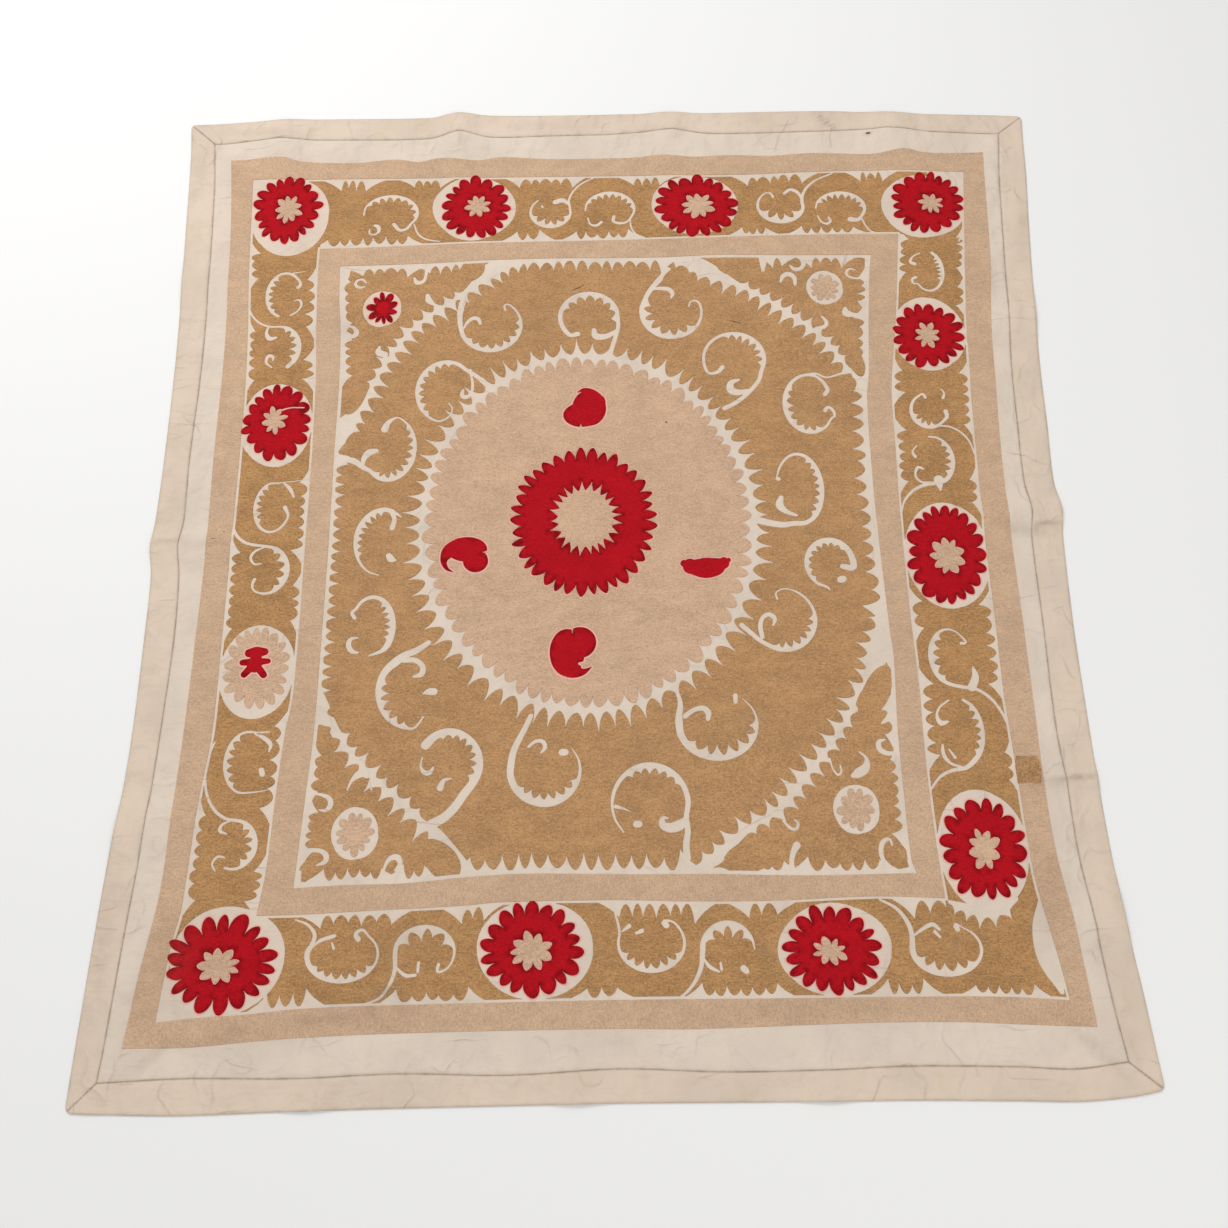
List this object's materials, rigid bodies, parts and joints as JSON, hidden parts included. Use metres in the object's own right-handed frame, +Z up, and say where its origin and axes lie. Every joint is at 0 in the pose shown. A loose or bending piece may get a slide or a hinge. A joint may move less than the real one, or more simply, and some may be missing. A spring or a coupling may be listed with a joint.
{
  "type": "embroidered tablecloth",
  "caption": "Flat rectangular cotton tablecloth with a large round medallion, scrollwork and rosette borders in raised embroidery, edged with mitred sewn-on strips.",
  "frame": {"origin": "centre of the laid-out cloth's box, on the surface it lies on", "axes": "+Z up out of the worked face, +Y along the longer sides towards the edge that is furthest away in the picture, +X to the right"},
  "size_m": [1.507, 1.6671, 0.0077],
  "materials": {
    "ground_cotton": "plain-woven off-white cotton, washed and lightly soiled, with dense surface embroidery",
    "strip_cotton": "plain-woven cream cotton strip, lightly stained and creased"
  },
  "bodies": {
    "root": {"ground_cloth": "ground_cotton", "border_strip_bottom": "strip_cotton", "border_strip_top": "strip_cotton", "border_strip_left": "strip_cotton", "border_strip_right": "strip_cotton"}
  },
  "joints": []
}
